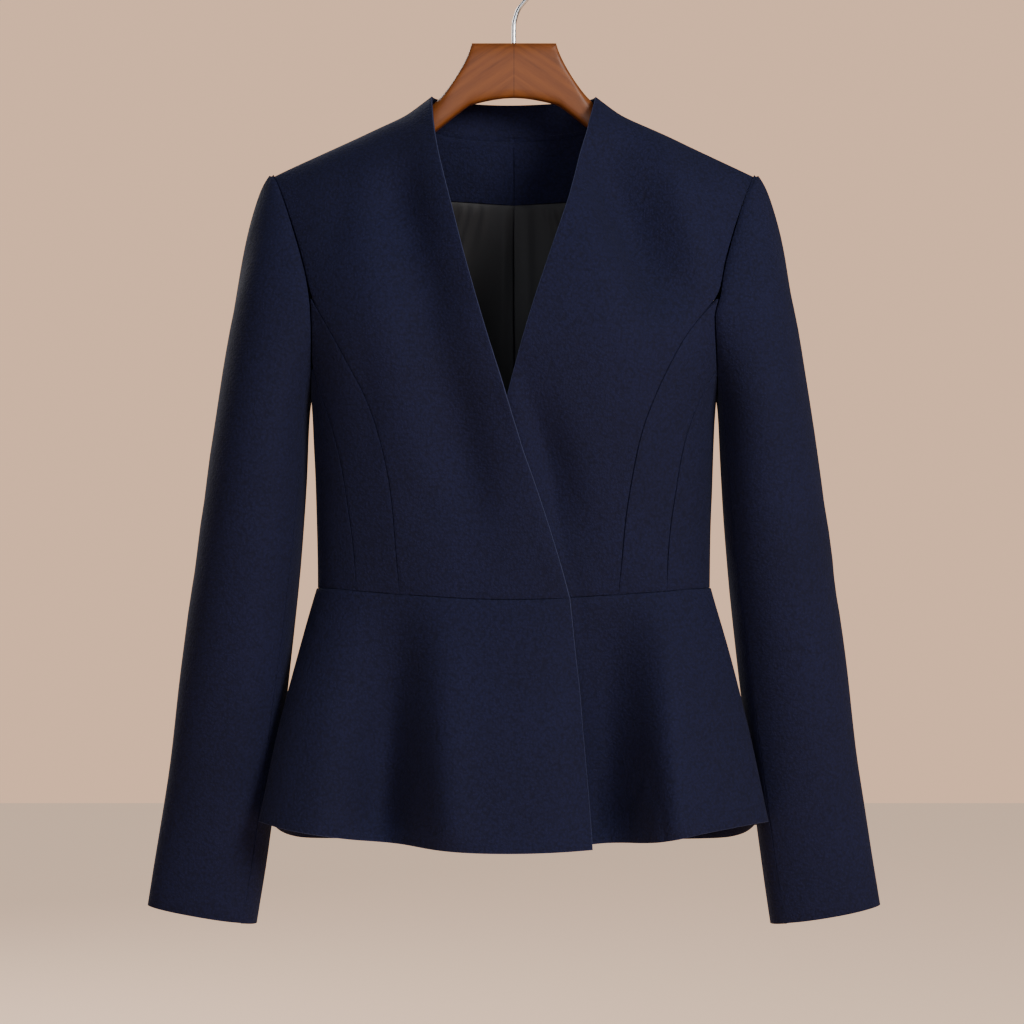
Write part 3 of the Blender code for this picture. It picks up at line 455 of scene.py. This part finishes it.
def gap_to_next(point, out, name):
    """The way from a rim's point to the piece that the rim faces, or None where none is in reach."""
    trees = [tree for other, tree in piece_trees.items() if other != name]
    places = [tree.find_nearest(point, SEAM_REACH)[0] for tree in trees]
    ways = [place - point for place in places if place is not None]
    return max(ways, key=lambda way: way.normalized().dot(out), default=None)


print("search trees:", len(piece_trees))

# %% [markdown]
# A seam on pressed wool is a fine dark groove, closed from behind by what is turned in. So the edges
# that are seen are drawn back a little, and the hidden ones are moved on to the next piece, which
# keeps light from coming through. The corners where seams meet are moved together. The collar band's
# inner edge stays, because the facing lies against it. Where no other piece is in reach, the edge is
# free: it stays where it is too, and gets the full roll later.

# %% Press the seams
GROOVE_PULL = 0.0003
GAP_SHARE = 0.75
CORNER_SHARE = 0.5
CORNER_PUSH = 0.0006
CORNER_TURN = 0.5
SEAM_ROLL_SHARE = 0.1


def edge_layer(grid, name):
    """A layer of one number for each edge, made where the mesh has none yet."""
    return grid.edges.layers.float.get(name) or grid.edges.layers.float.new(name)


def seam_move(gap, away, corner, shown):
    """How far a rim's point moves at a seam, for the way to the next piece and the way out."""
    if gap is None:
        return Vector((0.0, 0.0, 0.0))
    if corner:
        return gap * CORNER_SHARE if shown else away * CORNER_PUSH
    return away * -GROOVE_PULL if shown else gap * GAP_SHARE


def press_seams(grid, name):
    """Close the seams from behind and groove them in front, and mark free edges for a wide roll."""
    roll = edge_layer(grid, "bevel_weight_edge")
    rims = thin_faces(grid)
    rim_set = set(rims)
    ways_out = {}
    for face in rims:
        for vert in face.verts:
            ways_out.setdefault(vert, []).append(face.normal.copy())
    gaps = {vert: gap_to_next(vert.co, ways[0], name) for vert, ways in ways_out.items()}
    moves = {}
    for vert, ways in ways_out.items():
        first = ways[0]
        other = min(ways, key=first.dot)
        away = (first + other) / (1.0 + max(0.0, first.dot(other)))
        shown = any(is_shown(face, name) for face in vert.link_faces if face not in rim_set)
        gap = None if name == "collar_band" and not shown else gaps[vert]
        moves[vert] = seam_move(gap, away, first.dot(other) < CORNER_TURN, shown)
    for face in rims:
        for edge in face.edges:
            if edge.calc_face_angle() > SHARP_EDGE:
                seam = all(gaps.get(vert) is not None for vert in edge.verts)
                out = any(is_shown(other, name) for other in edge.link_faces if other not in rim_set)
                edge[roll] = SEAM_ROLL_SHARE if seam or not out else 1.0
    for vert, move in moves.items():
        vert.co += move


print("grooves are drawn back by", GROOVE_PULL / MM, "mm")

# %% [markdown]
# The copy has its doubled corners merged, its triangles joined to quads, and its sharp edges marked
# as creases, so that subdivision rounds the cloth and keeps the edges where they are. The hanger's
# board is made finer in the same way, but it has no seams, so all its edges get the full roll.

# %% A finer copy of a piece
SAME_POINT = 0.000001
QUAD_FACE_ANGLE = math.radians(25)
QUAD_SHAPE_ANGLE = math.radians(60)


def piece_grid(node_name):
    grid = bmesh.new()
    grid.from_mesh(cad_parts[node_name].data)
    bmesh.ops.remove_doubles(grid, verts=grid.verts, dist=SAME_POINT)
    return grid


def finer_mesh(name, grid, rounds, wide_roll=False):
    """Subdivide a piece's mesh; wide_roll gives every sharp edge the full roll, as on a board."""
    bmesh.ops.join_triangles(
        grid, faces=grid.faces, angle_face_threshold=QUAD_FACE_ANGLE, angle_shape_threshold=QUAD_SHAPE_ANGLE
    )
    if not wide_roll:
        press_seams(grid, name)
    roll = edge_layer(grid, "bevel_weight_edge")
    crease = edge_layer(grid, "crease_edge")
    for edge in grid.edges:
        if is_sharp(edge):
            edge[crease] = 1.0
            if wide_roll:
                edge[roll] = 1.0
    mesh = bpy.data.meshes.new(name + "_cage")
    grid.to_mesh(mesh)
    grid.free()
    piece = bpy.data.objects.new(name + "_cage", mesh)
    bpy.context.scene.collection.objects.link(piece)
    smoother = piece.modifiers.new("finer", "SUBSURF")
    smoother.levels = rounds
    smoother.render_levels = rounds
    smoother.boundary_smooth = "PRESERVE_CORNERS"
    settled = bpy.context.evaluated_depsgraph_get()
    settled.update()
    made = bpy.data.meshes.new_from_object(piece.evaluated_get(settled))
    bpy.data.objects.remove(piece, do_unlink=True)
    return made


print("sharp edges start at", round(math.degrees(SHARP_EDGE)), "degrees")

# %% [markdown]
# Cloth on a hanger sinks a little where nothing holds it, and pulls into soft ridges where it hangs
# from a point. Cloth simulation gives folds of its own choosing, in other places on every change. Here
# each hollow is one row of a table: the line that it follows as seen from one side, how wide it is,
# and how deep. A point moves by its distance from that line, whatever piece it belongs to, so a
# hollow crosses a seam without opening it. A negative depth is a ridge.

# %% Hollows and ridges, in millimetres
HOLLOWS = (
    # side, start (across, z), end (across, z), width, depth
    ("front", (-98, -172), (-88, -255), 24, 13.0),
    ("front", (-87, -220), (-61, -345), 27, 17.0),
    ("front", (-66, -315), (-27, -480), 26, 15.0),
    ("front", (-60, -130), (-34, -255), 13, -5.0),
    ("front", (-38, -235), (-4, -360), 13, -5.5),
    ("front", (-8, -335), (32, -500), 11, -5.0),
    ("front", (64, -150), (134, -308), 29, 26.0),
    ("front", (116, -148), (168, -316), 16, -5.0),
    ("front", (52, -180), (96, -300), 20, -4.0),
    ("front", (8, -360), (46, -492), 21, 13.0),
    ("front", (4, -345), (53, -545), 6, 2.6),
    ("front", (50, -500), (80, -930), 6, 2.6),
    ("front", (-128, -160), (-152, -262), 17, 2.4),
    ("front", (-98, -540), (-114, -930), 24, 20.0),
    ("front", (-58, -550), (-38, -930), 18, -8.0),
    ("front", (76, -534), (70, -930), 29, 24.0),
    ("front", (120, -550), (142, -930), 18, -9.0),
    ("front", (-92, -440), (-50, -476), 11, 1.6),
    ("front", (40, -486), (92, -462), 10, 1.4),
    ("front", (-122, -330), (-112, -420), 12, 1.6),
    ("front", (122, -322), (111, -405), 12, 1.8),
    ("back", (-70, -180), (-122, -300), 22, 3.2),
    ("back", (66, -176), (128, -286), 20, 3.6),
    ("back", (-16, -190), (-8, -290), 15, 1.4),
    ("back", (-88, -440), (-22, -468), 12, 1.6),
    ("back", (26, -474), (96, -440), 11, 1.4),
    ("back", (-108, -330), (-92, -420), 14, 1.5),
    ("right", (-30, -224), (10, -330), 14, 1.4),
    ("right", (-18, -436), (26, -470), 13, 1.3),
    ("right", (20, -492), (-20, -520), 11, 1.0),
    ("left", (-28, -230), (14, -318), 15, 1.3),
    ("left", (-14, -450), (30, -478), 12, 1.2),
    ("left", (22, -506), (-20, -528), 12, 1.0),
)
VIEW_LINES = {
    # side: the way in, and the axis that runs across
    "front": (Vector((0, 1, 0)), Vector((1, 0, 0))),
    "back": (Vector((0, -1, 0)), Vector((1, 0, 0))),
    "right": (Vector((1, 0, 0)), Vector((0, 1, 0))),
    "left": (Vector((-1, 0, 0)), Vector((0, 1, 0))),
}
CLOTH_NODES = [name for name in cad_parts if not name.startswith(("hanger", "hook", "lining"))]
print("hollows:", len(HOLLOWS), "over", len(CLOTH_NODES), "pieces")

# %% [markdown]
# A row gives only where its ends are as seen from one side. A ray sent in from that side finds the
# surface, and the surface's own direction there says which way the cloth sinks. Between the ends the
# line wanders a little, as a real hollow does, and its depth fades towards both. A ray that passes
# under the hem and meets the far side of the jacket is left out.

# %% Find the hollows on the cloth
RAY_START = 1.0
STEPS_PER_HOLLOW = 12
WANDER = 0.0022
WANDERS_PER_METRE = 40
NOISE_SEED = 7
END_FADE = 0.08
FADE_POWER = 1.2
noise.seed_set(NOISE_SEED)


def hollow_points(surface, row):
    """The points along one hollow: place, way in, width and depth there."""
    side, start, end, width, depth = row
    way_in, across = VIEW_LINES[side]
    points = []
    for step in range(STEPS_PER_HOLLOW + 1):
        share = step / STEPS_PER_HOLLOW
        over = (start[0] + (end[0] - start[0]) * share) * MM
        up = (start[1] + (end[1] - start[1]) * share) * MM
        wander_place = Vector((over * WANDERS_PER_METRE, up * WANDERS_PER_METRE, len(side)))
        wander = noise.noise(wander_place) * WANDER
        origin = across * (over + wander) + Vector((0, 0, up)) - way_in * RAY_START
        place, normal, _, _ = surface.ray_cast(origin, way_in)
        if place is None or place.dot(way_in) > 0:
            continue
        if normal.dot(way_in) > 0:
            normal = -normal
        fade = math.sin(math.pi * (END_FADE + (1 - 2 * END_FADE) * share)) ** FADE_POWER
        points.append((place, -normal, width * MM, depth * MM * fade))
    return points


surface = search_tree(*CLOTH_NODES)
lines = [hollow_points(surface, row) for row in HOLLOWS]
print("points on the cloth:", sum(len(line) for line in lines))

# %% [markdown]
# Each vertex asks every line for its nearest point. The push falls off as a bell curve, which has no
# edge to show, and stops at three widths so that far points are left alone. On top of it all, the
# whole jacket gets a very shallow unevenness, because no hanging cloth is perfectly true.

# %% Bend a mesh into the hollows
REACH = 3.0
LINE_SAG = 0.02
UNEVEN_DEPTH = 0.0006
UNEVEN_PER_METRE = 17.0


def nearest_on_line(line, point):
    """The nearest place on a hollow's line, with the way in and the depth there."""
    first = min(range(len(line)), key=lambda index: (line[index][0] - point).length_squared)
    found = line[first][0], line[first][1], line[first][3]
    for second in (first - 1, first + 1):
        if 0 <= second < len(line):
            place, share = intersect_point_line(point, line[first][0], line[second][0])
            if 0.0 < share < 1.0 and (place - point).length < (found[0] - point).length:
                way_in = line[first][1].lerp(line[second][1], share)
                found = place, way_in, line[first][3] + (line[second][3] - line[first][3]) * share
    return found


def hollow_push(point):
    """How far all the hollows together push a point of the cloth."""
    push = Vector((0, 0, 0))
    for line in lines:
        if not line:
            continue
        width = line[0][2]
        middle = line[len(line) // 2][0]
        half_length = (line[0][0] - line[-1][0]).length / 2
        if (point - middle).length > half_length + REACH * width + LINE_SAG:
            continue
        place, way_in, depth = nearest_on_line(line, point)
        distance = (place - point).length
        if distance < REACH * width:
            push += way_in * depth * math.exp(-((distance / width) ** 2))
    return push


def bend(mesh):
    """Push a mesh into the hollows, and return the deepest push."""
    deepest = 0.0
    for vertex in mesh.vertices:
        push = hollow_push(vertex.co)
        deepest = max(deepest, push.length)
        push += noise.noise_vector(vertex.co * UNEVEN_PER_METRE) * UNEVEN_DEPTH
        vertex.co += push
    return deepest


print("bell curves reach", REACH, "widths")

# %% [markdown]
# Thick wool that is turned under and pressed has a rounded edge, never a knife edge. A small bevel on
# the rims does that: wide on a free edge, narrow at a seam, by the weight that each edge was given.
# The bevel puts its own faces in a second material slot, which tells them from the cloth. The wide
# ones among them get the highlight mark, which the wool shows as a painted highlight, a lighter line,
# and the slot goes again.

# %% Round the edges and finish a piece
ROLL_STEPS = 2
ROLL_SLOT = 1
WIDE_ROLL_SIDE = 0.00018


def painted_highlight_share(mesh, face):
    """1 for a face of a free edge's roll, which gets the painted highlight; 0 for cloth and for the narrow
    rolls at seams.
    """
    if face.material_index != ROLL_SLOT:
        return 0.0
    corners = [mesh.vertices[index].co for index in face.vertices]
    sides = [(first - second).length for first, second in zip(corners, corners[1:] + corners[:1])]
    return 1.0 if min(sides) > WIDE_ROLL_SIDE else 0.0


def finish_cloth(mesh, name, roll, material):
    """Round a mesh's weighted edges, mark the wide rolls for the painted edge highlight, and make it a
    piece with its material.
    """
    piece = bpy.data.objects.new(name, mesh)
    bpy.context.scene.collection.objects.link(piece)
    mesh.shade_smooth()
    mesh.materials.append(material)
    mesh.materials.append(material)
    rim = piece.modifiers.new("roll", "BEVEL")
    rim.width = roll * MM
    rim.segments = ROLL_STEPS
    rim.limit_method = "WEIGHT"
    rim.use_clamp_overlap = True
    rim.material = ROLL_SLOT
    settled = bpy.context.evaluated_depsgraph_get()
    settled.update()
    rolled = bpy.data.meshes.new_from_object(piece.evaluated_get(settled))
    piece.modifiers.clear()
    piece.data = rolled
    # the painted edge highlight goes on the faces that this mark picks
    mark = rolled.attributes.new(HIGHLIGHT_MARK, "FLOAT", "FACE")
    mark.data.foreach_set("value", [painted_highlight_share(rolled, face) for face in rolled.polygons])
    rolled.polygons.foreach_set("material_index", [0] * len(rolled.polygons))
    rolled.materials.clear()
    rolled.materials.append(material)
    rolled.shade_smooth()
    rolled.name = name
    return piece


print("rolled edges have", ROLL_STEPS, "steps")

# %% [markdown]
# Each sewn piece was cut flat. Its flat width and length tell how much cloth it takes, and its flat
# area is less than that of a rectangle, because armholes, necks and tapers are cut away.

# %% The wool pieces and their flat sizes
WOOL_PIECES = {
    # frame node: (flat width, flat length, flat area) in metres
    "front_right": (0.260, 0.420, 0.0531),
    "front_left": (0.260, 0.420, 0.0549),
    "side_front_right": (0.066, 0.245, 0.0090),
    "side_front_left": (0.068, 0.245, 0.0095),
    "side_right": (0.140, 0.185, 0.0183),
    "side_left": (0.142, 0.185, 0.0194),
    "back_right": (0.210, 0.400, 0.0629),
    "back_left": (0.210, 0.400, 0.0629),
    "collar_band": (0.200, 0.045, 0.0052),
    "neck_facing_right": (0.076, 0.060, 0.0039),
    "neck_facing_left": (0.076, 0.060, 0.0039),
    "peplum_front_right": (0.400, 0.225, 0.0565),
    "peplum_front_left": (0.400, 0.225, 0.0563),
    "peplum_back": (0.560, 0.225, 0.0899),
    "sleeve_upper_right": (0.260, 0.625, 0.1147),
    "sleeve_upper_left": (0.260, 0.625, 0.1147),
    "sleeve_under_right": (0.110, 0.510, 0.0366),
    "sleeve_under_left": (0.110, 0.510, 0.0366),
}
WOOL_ROLL = 1.2
WOOL_ROUNDS = 2

for node_name, (width, length, area) in WOOL_PIECES.items():
    mesh = finer_mesh(node_name, piece_grid(node_name), WOOL_ROUNDS)
    deepest = bend(mesh)
    piece = finish_cloth(mesh, node_name + "_wool", WOOL_ROLL, navy_wool)
    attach(piece, "root")
    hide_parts(node_name)
    print(node_name, "faces", len(piece.data.polygons), "deepest", round(deepest / MM, 1), "mm")

# %% [markdown]
# The lining is cut a little wide and gathered where it is sewn to the facing, so it hangs in soft
# pleats: sharp and short at the top, some running down. They are on both halves alike, but not in
# the same places. A pleat is a row that says where it is, how it drifts outwards, its width, depth and
# length. It bulges towards the front, because the back panel lies close behind. The hollows bend the
# lining first, as they bend the wool, so that it stays in front of the back.

# %% The lining
LINING_PIECES = {"lining_back_right": (0.130, 0.300, 0.0354), "lining_back_left": (0.130, 0.300, 0.0354)}
LINING_ROLL = 0.3
LINING_ROUNDS = 3
LINING_TOP_Z = -0.203
LINING_FADE = 0.004
GATHER_SHIFT = 1.5
GATHERS = (
    # place from the middle, drift per metre down, width, depth, length, in millimetres but for drift
    (9.0, 0.02, 5.0, 0.8, 400.0),
    (25.0, 0.18, 2.6, 0.9, 45.0),
    (34.0, 0.30, 3.6, 1.2, 130.0),
    (43.0, 0.26, 2.8, 1.1, 60.0),
    (58.0, 0.38, 6.0, 1.0, 210.0),
    (76.0, 0.30, 7.0, 1.2, 240.0),
    (92.0, 0.20, 6.0, 1.2, 240.0),
)


def lining_fold(point):
    """How far a point of the lining bulges to the front, most of all just under the facing."""
    down = max(0.0, LINING_TOP_Z - point.z)
    sewn = min(1.0, down / LINING_FADE)
    sign = math.copysign(1.0, point.x)
    depth = 0.0
    for place, drift, width, deep, length in GATHERS:
        middle = (place + GATHER_SHIFT * sign) * MM + drift * down
        away = (abs(point.x) - middle) / (width * MM)
        depth += deep * MM * math.exp(-away * away) * max(0.0, 1.0 - down / (length * MM))
    return depth * sewn


for node_name, (width, length, area) in LINING_PIECES.items():
    mesh = finer_mesh(node_name, piece_grid(node_name), LINING_ROUNDS)
    bend(mesh)
    for vertex in mesh.vertices:
        vertex.co.y -= lining_fold(vertex.co)
    piece = finish_cloth(mesh, node_name + "_satin", LINING_ROLL, charcoal_lining)
    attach(piece, "root")
    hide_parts(node_name)
    print(node_name, "faces", len(piece.data.polygons))

# %% [markdown]
# The hanger's two halves are glued end to end and then sanded as one board, so no groove shows
# between them. The frame keeps them as two solids. Here their meshes are put together, the two hidden
# end faces are taken out, the corners there are welded, and the whole board is made finer and gets a
# wide rounding on its long edges.

# %% The hanger board
BOARD_ROLL = 1.6
BOARD_ROUNDS = 2
WELD_WIDTH = 0.0005
WELD_CLOSE = 0.0001


def glued_board():
    board = bmesh.new()
    for side in ("right", "left"):
        board.from_mesh(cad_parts["hanger_" + side].data)
    bmesh.ops.remove_doubles(board, verts=board.verts, dist=SAME_POINT)
    for vert in board.verts:
        if abs(vert.co.x) < WELD_WIDTH:
            vert.co.x = 0.0
    hidden = [face for face in board.faces if all(abs(vert.co.x) < SAME_POINT for vert in face.verts)]
    bmesh.ops.delete(board, geom=hidden, context="FACES_ONLY")
    bmesh.ops.remove_doubles(board, verts=board.verts, dist=WELD_CLOSE)
    return board


mesh = finer_mesh("hanger", glued_board(), BOARD_ROUNDS, wide_roll=True)
board = finish_cloth(mesh, "hanger_board", BOARD_ROLL, wood)
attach(board, "root")
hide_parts("hanger_right", "hanger_left")
print(board.name, "faces", len(board.data.polygons))

# %% [markdown]
# The hook is one steel wire. It is a round section that follows a line, the plainest case for
# Geometry Nodes: the line is a short chain of points, the tree turns it into a smooth curve, and
# sweeps a circle along it. Its thickness and smoothness are named inputs, easy to change later.

# %% The hook's wire tree
def build_wire_tree():
    tree = bpy.data.node_groups.new("Swept wire", "GeometryNodeTree")
    face = tree.interface
    face.new_socket("Geometry", in_out="INPUT", socket_type="NodeSocketGeometry")
    radius = face.new_socket("Wire radius", in_out="INPUT", socket_type="NodeSocketFloat")
    radius.default_value = 0.00175
    steps = face.new_socket("Points along", in_out="INPUT", socket_type="NodeSocketInt")
    steps.default_value = 120
    round_steps = face.new_socket("Points round", in_out="INPUT", socket_type="NodeSocketInt")
    round_steps.default_value = 20
    metal = face.new_socket("Metal", in_out="INPUT", socket_type="NodeSocketMaterial")
    metal.default_value = steel
    face.new_socket("Geometry", in_out="OUTPUT", socket_type="NodeSocketGeometry")
    entry = tree.nodes.new("NodeGroupInput")
    leave = tree.nodes.new("NodeGroupOutput")
    line = tree.nodes.new("GeometryNodeMeshToCurve")
    smooth = tree.nodes.new("GeometryNodeCurveSplineType")
    smooth.spline_type = "CATMULL_ROM"
    fine = tree.nodes.new("GeometryNodeSetSplineResolution")
    fine.inputs["Resolution"].default_value = 12
    even = tree.nodes.new("GeometryNodeResampleCurve")
    section = tree.nodes.new("GeometryNodeCurvePrimitiveCircle")
    sweep = tree.nodes.new("GeometryNodeCurveToMesh")
    sweep.inputs["Fill Caps"].default_value = True
    real = tree.nodes.new("GeometryNodeRealizeInstances")
    painted = tree.nodes.new("GeometryNodeSetMaterial")
    join(tree, entry.outputs["Geometry"], line.inputs["Mesh"])
    join(tree, line.outputs["Curve"], smooth.inputs["Curve"])
    join(tree, smooth.outputs["Curve"], fine.inputs["Geometry"])
    join(tree, fine.outputs["Geometry"], even.inputs["Curve"])
    join(tree, entry.outputs["Points along"], even.inputs["Count"])
    join(tree, entry.outputs["Points round"], section.inputs["Resolution"])
    join(tree, entry.outputs["Wire radius"], section.inputs["Radius"])
    join(tree, even.outputs["Curve"], sweep.inputs["Curve"])
    join(tree, section.outputs["Curve"], sweep.inputs["Profile Curve"])
    join(tree, sweep.outputs["Mesh"], real.inputs["Geometry"])
    join(tree, real.outputs["Geometry"], painted.inputs["Geometry"])
    join(tree, entry.outputs["Metal"], painted.inputs["Material"])
    join(tree, painted.outputs["Geometry"], leave.inputs["Geometry"])
    return tree


wire_tree = build_wire_tree()
print("tree:", wire_tree.name)

# %% [markdown]
# The wire's line stands straight in the boards and bends into a question mark whose open side lets it
# slip over a rail. The arc's points are 15 degrees apart, which the smooth curve fills in.

# %% The hook
WIRE_RADIUS = 1.75
ARC_RADIUS = 22.0
ARC_CENTRE_Z = WIRE_RADIUS - ARC_RADIUS
ARC_FROM, ARC_TO, ARC_STEP = -60, 205, 15
FOOT = ((0.0, -76.0), (0.0, -66.0), (0.5, -58.0), (4.0, -48.0))
WIRE_POINTS, SECTION_POINTS = 140, 20


def set_input(modifier, name, value):
    """Set a modifier's input by the identifier of the socket that has this name."""
    for item in modifier.node_group.interface.items_tree:
        if item.item_type == "SOCKET" and item.in_out == "INPUT" and item.name == name:
            modifier[item.identifier] = value


route = list(FOOT)
for angle in range(ARC_FROM, ARC_TO + 1, ARC_STEP):
    turn = math.radians(angle)
    route.append((ARC_RADIUS * math.cos(turn), ARC_CENTRE_Z + ARC_RADIUS * math.sin(turn)))
line_mesh = bpy.data.meshes.new("hook_line")
pairs = [(index, index + 1) for index in range(len(route) - 1)]
line_mesh.from_pydata([(x * MM, 0.0, z * MM) for x, z in route], pairs, [])
hook = bpy.data.objects.new("hook_wire", line_mesh)
bpy.context.scene.collection.objects.link(hook)
sweep = hook.modifiers.new("wire", "NODES")
sweep.node_group = wire_tree
set_input(sweep, "Wire radius", WIRE_RADIUS * MM)
set_input(sweep, "Points along", WIRE_POINTS)
set_input(sweep, "Points round", SECTION_POINTS)
set_input(sweep, "Metal", steel)
bpy.context.view_layer.update()
settled = bpy.context.evaluated_depsgraph_get()
wire_mesh = bpy.data.meshes.new_from_object(hook.evaluated_get(settled))
hook.modifiers.clear()
hook.data = wire_mesh
wire_mesh.set_sharp_from_angle(angle=SHARP_EDGE)
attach(hook, "root")
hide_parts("hook")
print("hook faces:", len(wire_mesh.polygons))
